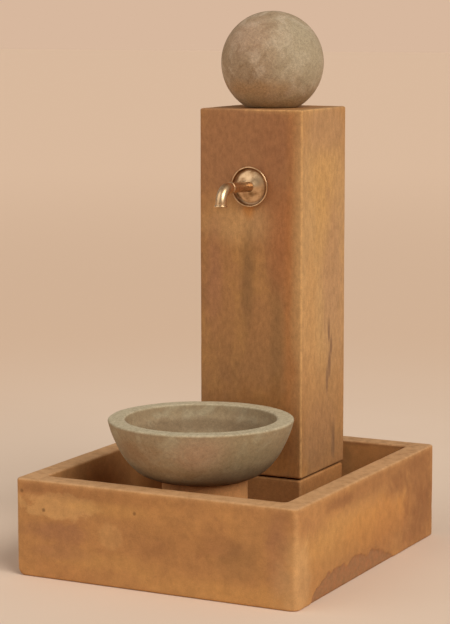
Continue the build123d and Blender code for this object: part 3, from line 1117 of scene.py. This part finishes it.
def make_elbow():
    start = PIPE_REACH + COLLAR_LENGTH
    bend_start = start + ELBOW_RUN
    line = [(start, 0)] + spaced((start, 0), (bend_start, 0), 2 * mm)
    line += arc((bend_start, -ELBOW_BEND), ELBOW_BEND, 90, 0, 40)
    tube_along("elbow", line, (ELBOW_RADIUS, ELBOW_RADIUS - 0.5 * mm), "spout_elbow")


def make_mouth():
    outer = ELBOW_RADIUS - 0.5 * mm
    inner = outer - PIPE_WALL
    bead_out = ELBOW_RADIUS + MOUTH_BEAD
    flare = [(0, outer), (2.4 * mm, outer + 0.3 * mm), (3.6 * mm, bead_out - 1 * mm)]
    section = [(0, inner), (0, outer)]
    section += smooth_line(flare, 4)[1:]
    section += arc((MOUTH_LENGTH - 2.2 * mm, bead_out - 2.2 * mm), 2.2 * mm, 90, -40, 8)
    section += [(MOUTH_LENGTH - 1 * mm, inner + 0.5 * mm)]
    reach = PIPE_REACH + COLLAR_LENGTH + ELBOW_RUN + ELBOW_BEND
    down = spout_point(0, -1) - spout_point(0, 0)
    turned_brass("mouth", section, "spout_mouth", down, spout_point(reach, -ELBOW_BEND))


make_basin()
upright_block(
    "plinth_casting", plinth_low, plinth_high, (7 * mm, 6 * mm, 3 * mm), 12.0,
    plinth_stone, "pillar_plinth",
)
upright_block(
    "pillar_casting", pillar_low, pillar_high, (7 * mm, 5 * mm, 6 * mm), 15.0,
    pillar_stone, "pillar",
)
make_ball()
make_bowl()
make_drum()
make_rosette()
make_pipe()
make_collar()
make_elbow()
make_mouth()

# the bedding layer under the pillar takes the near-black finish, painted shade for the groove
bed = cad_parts["pillar_bed"]
bed.data.materials.clear()
bed.data.materials.append(mortar)


# ---------------------------------------------------------------- floor, light and camera

# floor colours: a painted pool of light near the model, a painted fall-off to a darker ring further out,
# then lighter again far off where the floor meets the backdrop
LIT_NEAR_FLOOR_TONES = (srgb(236, 212, 190), srgb(230, 204, 180))
DIMMER_MIDDLE_FLOOR = srgb(226, 194, 166)
FAR_FLOOR = srgb(236, 204, 176)


def make_floor():
    floor_reach = 60.0
    mesh = bpy.data.meshes.new("studio floor")
    corners = [(-1, -1), (1, -1), (1, 1), (-1, 1)]
    mesh.from_pydata([(x * floor_reach, y * floor_reach, 0) for x, y in corners], [], [(0, 1, 2, 3)])
    material, tree, shader, place = start_material("pale floor", 0.9)
    cloud = noise_node(tree, place, 1.2, 3.0)
    near = blend_colour(tree, cloud, *LIT_NEAR_FLOOR_TONES)
    far = vector_node(tree, "LENGTH", place)
    # painted light: lighter close to the model and darker from 0.8 m to 4 m out, as a pool of light and
    # its fall-off
    colour = blend_colour(tree, ramp(tree, far, 0.8, 4.0), near, DIMMER_MIDDLE_FLOOR)
    colour = blend_colour(tree, ramp(tree, far, 5.0, 14.0), colour, FAR_FLOOR)
    tree.links.new(colour, shader.inputs["Base Color"])
    mesh.materials.append(material)
    floor = add_to_scene("studio_floor", mesh)


def add_broad_light(name, direction, strength, spread, colour):
    """A soft parallel light that comes from a direction, as a large distant softbox does."""
    light = bpy.data.lights.new(name, "SUN")
    light.energy = strength
    light.angle = math.radians(spread)
    light.color = colour
    lamp = add_to_scene(name, light)
    lamp.rotation_euler = Vector(direction).to_track_quat("Z", "Y").to_euler()


def make_lights():
    warm = (1.0, 0.97, 0.93)
    add_broad_light("softbox_right", (0.74, -0.27, 0.64), 2.15, 45, warm)
    add_broad_light("softbox_left", (-0.58, -0.62, 0.53), 0.72, 60, warm)
    world = bpy.data.worlds.new("studio")
    bpy.context.scene.world = world
    world.use_nodes = True
    tree = world.node_tree
    glow = tree.nodes["Background"]
    glow.inputs["Color"].default_value = (1.0, 0.94, 0.87, 1)
    glow.inputs["Strength"].default_value = 0.3
    backdrop = add_node(tree, "ShaderNodeBackground", Color=(*srgb(216, 184, 158), 1), Strength=1.0)
    seen = tree.nodes.new("ShaderNodeLightPath").outputs["Is Camera Ray"]
    pick = tree.nodes.new("ShaderNodeMixShader")
    tree.links.new(seen, pick.inputs[0])
    tree.links.new(glow.outputs[0], pick.inputs[1])
    tree.links.new(backdrop.outputs[0], pick.inputs[2])
    tree.links.new(pick.outputs[0], tree.nodes["World Output"].inputs["Surface"])


def make_camera():
    """Long lens, a little above the pillar's top, from the front right."""
    camera = bpy.data.cameras.new("camera")
    camera.sensor_width = 36
    camera.lens = 124.6
    holder = add_to_scene("camera", camera)
    turn, dip, roll = math.radians(27.13), math.radians(7.98), math.radians(-0.085)
    holder.location = (2.429, -4.780, 1.373)
    holder.rotation_euler = (
        Euler((math.radians(90) - dip, 0, turn)).to_matrix() @ Euler((0, 0, roll)).to_matrix()
    ).to_euler()
    bpy.context.scene.camera = holder


make_floor()
make_lights()
make_camera()
bpy.context.scene.view_settings.view_transform = "Standard"

bpy.context.view_layer.update()
